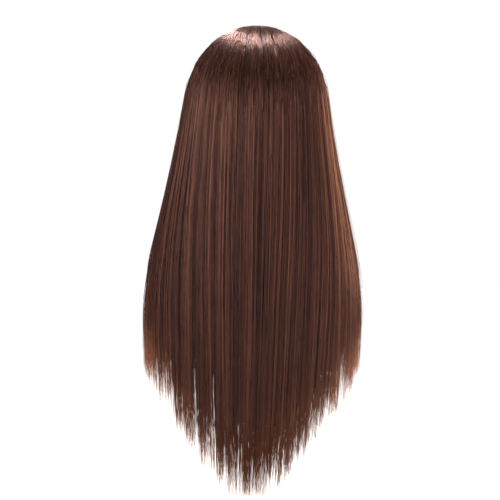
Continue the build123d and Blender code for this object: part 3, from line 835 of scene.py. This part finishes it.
def scalp_colour(start):
    dots = start.node("ShaderNodeTexVoronoi", {"feature": "F1"}, {"Vector": start.place(), "Scale": 420.0})
    skin = start.noise(40.0).mix((0.46, 0.27, 0.19), (0.38, 0.21, 0.145))
    return dots.step(0.42, 0.18).mix(skin, (0.045, 0.022, 0.016))


skin_vinyl = finish_of("skin_vinyl", skin_colour, skin_roughness, pores, 0.05 * MM, Specular_IOR_Level=0.4)
scalp_vinyl = finish_of("scalp_vinyl", scalp_colour, lambda start: start.noise(80.0) * 0.15 + 0.5,
                        lambda start: start.noise(500.0), 0.1 * MM)
for piece, material in ((head, skin_vinyl), (scalp, scalp_vinyl)):
    piece.data.materials.clear()
    piece.data.materials.append(material)

# %% [markdown]
# ## Eyes, lashes and the hard parts
#
# The eyes were modelled in the frame as solids of the right shape: a white ball, a coloured disc and a
# clear cap over it. They stay, with better finishes. The iris is a disc with a dark rim, fine spokes and
# a pupil. The lashes are strips with single hairs, so those solids are replaced by curved hairs. The foam,
# the socket, the base and the screws also keep their solids.

# %% Eye finishes
def around(start, centre_x):
    """Distance from the middle of the iris on either side, and the place along a turn about it."""
    x, y, z = start.axes()
    across, over = x - centre_x, z - eye_z
    far = start.math("SQRT", across * across + over * over)
    return far, across, over


def iris_finish(side, sign):
    def colour(start):
        far, across, over = around(start, sign * eye_x)
        direction = start.node("ShaderNodeCombineXYZ", {}, {0: across / far, 1: over / far, 2: far * 40.0})
        spokes = start.noise(9.0, 3.0, 0.6, direction)
        brown = spokes.step(0.35, 0.7).mix((0.16, 0.062, 0.024), (0.42, 0.20, 0.075))
        edged = far.step(IRIS_RADIUS * 0.78, IRIS_RADIUS * 0.98).mix(brown, (0.03, 0.016, 0.01))
        return far.step(IRIS_RADIUS * 0.42, IRIS_RADIUS * 0.36).mix(edged, (0.004, 0.004, 0.004))
    return finish_of(f"iris_{side}", colour, 0.3)


def white_colour(start):
    x, y, z = start.axes()
    out = start.math("ABSOLUTE", start.math("ABSOLUTE", x) - eye_x)
    veins = start.noise(420.0, 3.0, 0.7).step(0.56, 0.66) * out.step(7 * MM, 13 * MM) * 0.25
    ivory = out.step(6 * MM, 15 * MM).mix((0.66, 0.64, 0.61), (0.56, 0.46, 0.41))
    return veins.mix(ivory, (0.45, 0.16, 0.13))


IRIS_RADIUS = (iris_high.x - iris_low.x) / 2
eye_white = finish_of("eye_white", white_colour, 0.16, Coat_Weight=0.6, Coat_Roughness=0.05)
clear = finish_of("cornea_acrylic", lambda start: start.noise(60.0).mix((0.03,) * 3, (0.05,) * 3), 0.03,
                  Alpha=0.22, IOR=1.5)

# %% [markdown]
# The foam is pale and grainy, with painted pockets behind the eyes. The socket and the base are moulded in
# black plastic, one a little glossier than the other, and the screws are turned steel with a zinc finish.

# %% Finishes of the hard parts
def foam_colour(start):
    cells = start.node("ShaderNodeTexVoronoi", {"feature": "F1"}, {"Vector": start.place(), "Scale": 700.0})
    foam = cells.step(0.05, 0.6).mix((0.50, 0.37, 0.17), (0.70, 0.57, 0.33))
    x, y, z = start.axes()                        # the corners of the eyes are painted a dull pink
    across, over = start.math("ABSOLUTE", x) - eye_x, z - eye_z
    painted = start.math("SQRT", across * across + over * over).step(21 * MM, 19 * MM)
    return (painted * y.step(eye_y + 2 * MM, eye_y - 2 * MM)).mix(foam, (0.40, 0.17, 0.14))


def moulded(name, dark, light, roughness):
    return finish_of(name, lambda start: start.noise(60.0, 3.0).mix(dark, light),
                     lambda start: start.noise(220.0) * 0.16 + roughness,
                     lambda start: start.noise(1400.0, 2.0), 0.06 * MM)


def screw_roughness(start):
    x, y, z = start.axes()
    swirl = start.node("ShaderNodeCombineXYZ", {}, {0: x * 300.0, 1: y * 4000.0, 2: z * 300.0})
    return start.noise(1.0, 3.0, 0.6, swirl) * 0.25 + 0.22


core_foam = finish_of("core_foam", foam_colour, lambda start: start.noise(400.0) * 0.15 + 0.78,
                      lambda start: start.noise(1100.0, 3.0), 0.25 * MM)
socket_plastic = moulded("socket_plastic", (0.012, 0.012, 0.013), (0.022, 0.022, 0.024), 0.34)
base_plastic = moulded("base_plastic", (0.018, 0.018, 0.019), (0.030, 0.030, 0.032), 0.42)
DULL_ZINC, BRIGHT_ZINC = (0.50, 0.49, 0.47), (0.60, 0.59, 0.57)
screw_steel = finish_of("screw_steel", lambda start: start.noise(500.0).mix(DULL_ZINC, BRIGHT_ZINC),
                        screw_roughness, Metallic=1.0)
finishes = {"foam_core": core_foam, "clamp_socket": socket_plastic, "neck_base": base_plastic,
            "socket_screws": screw_steel}
for side, sign in (("left", 1), ("right", -1)):
    finishes[f"eyeball_{side}"] = eye_white
    finishes[f"iris_{side}"] = iris_finish(side, sign)
    finishes[f"cornea_{side}"] = clear
for name, material in finishes.items():
    solid = bpy.data.objects[name]
    solid.data.materials.clear()
    solid.data.materials.append(material)

# %% [markdown]
# The lashes are the same kind of thin tube as the hair, but shorter, thicker at the root and bent: they
# leave the edge of the upper lid forwards, dip a little and curl up. The outer ones are longer.

# %% Lashes
LASHES = 74


def lashes(side, sign):
    share = np.linspace(0.0, 1.0, LASHES)
    across = (share - 0.5) * 2 * LID_HALF + rng.uniform(-0.15, 0.15, LASHES) * MM
    lid, _ = lid_edges(across)
    length = (5.5 + 3.2 * share + rng.uniform(-1.0, 0.8, LASHES)) * MM
    t = np.linspace(0, 1, 9)[None, :]
    ahead = np.sqrt(np.maximum((eye_radius + 0.6 * MM) ** 2 - across ** 2 - lid ** 2, 0))
    root = np.stack([across, eye_y - ahead, lid], -1)
    splay = np.clip(across / LID_HALF, -1, 1)[:, None] * 0.55 + rng.normal(0, 0.09, LASHES)[:, None]
    forward = length[:, None] * (1.15 * t - 0.35 * t ** 2)
    rise = length[:, None] * (-0.18 * np.sin(np.pi * np.minimum(t * 1.6, 1)) + 0.75 * t ** 2.2)
    path = root[:, None, :] + np.stack([forward * splay, -forward, rise], -1)
    path[..., 0] = sign * (path[..., 0] + eye_x)
    path[..., 2] += eye_z
    group = (path, rng.uniform(0.0, 0.3, LASHES), np.full(LASHES, 0.11 * MM))
    made = strands_object(f"lash_hairs_{side}", [group], lash_fibre)
    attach(made, "root")
    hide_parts(f"lashes_{side}")


def lash_black(start):
    return start.noise(900.0).mix((0.006, 0.004, 0.004), (0.014, 0.009, 0.008))


lash_fibre = finish_of("lash_fibre", lash_black, 0.45)
for side, sign in (("left", 1), ("right", -1)):
    lashes(side, sign)

# %% [markdown]
# ## Light
#
# A long lamp overhead draws the bright band across the crown. Broad soft lamps beside the camera fill the
# rest, and two warm ones behind the head light its edges.

# %% Lights, backdrop and floor
def lamp(name, place, target, size, power, colour=(1, 1, 1), long=None):
    data = bpy.data.lights.new(name, "AREA")
    data.energy, data.size, data.color = power, size, colour
    if long:
        data.shape, data.size_y = "RECTANGLE", long
    made = bpy.data.objects.new(name, data)
    made.location = place
    made.rotation_euler = (Vector(target) - Vector(place)).to_track_quat("-Z", "Y").to_euler()
    bpy.context.scene.collection.objects.link(made)


middle = (0, 0, temple)
lamp("overhead", (0, -0.40, 1.55), (0, 0, crown), 0.60, 40, long=0.40)
lamp("behind_camera", (0.15, 2.5, 0.62), (0, 0, 0.0), 2.2, 50)
lamp("rim_left", (1.5, -1.0, 0.4), middle, 0.7, 16, (1.0, 0.62, 0.38))
lamp("rim_right", (-1.5, -0.9, 0.4), middle, 0.7, 11, (1.0, 0.62, 0.38))
lamp("face_fill", (0.9, -2.2, 0.7), middle, 1.2, 11)

world = bpy.data.worlds.new("studio")
world.use_nodes = True
bpy.context.scene.world = world
sky = Wire(world.node_tree)
seen = sky.node("ShaderNodeLightPath")
glow = seen * 0.80 + 0.20
world.node_tree.links.new(glow.socket, world.node_tree.nodes["Background"].inputs["Strength"])
world.node_tree.nodes["Background"].inputs["Color"].default_value = (1, 1, 1, 1)
bpy.context.scene.view_settings.view_transform = "Standard"

bpy.ops.object.select_all(action="DESELECT")
bpy.ops.mesh.primitive_plane_add(size=30, location=(0, 0, hem - 1 * MM))
floor = bpy.context.object
floor.name = "floor"
floor_paint = finish_of("floor_paint", lambda start: start.noise(30.0).mix((0.86,) * 3, (0.9,) * 3), 0.7)
floor_shader = floor_paint.node_tree.nodes["Principled BSDF"]
floor_shader.inputs["Emission Color"].default_value = (1, 1, 1, 1)
floor_glow = Wire(floor_paint.node_tree).node("ShaderNodeLightPath") * 0.75 + 0.17
floor_paint.node_tree.links.new(floor_glow.socket, floor_shader.inputs["Emission Strength"])
floor.data.materials.append(floor_paint)
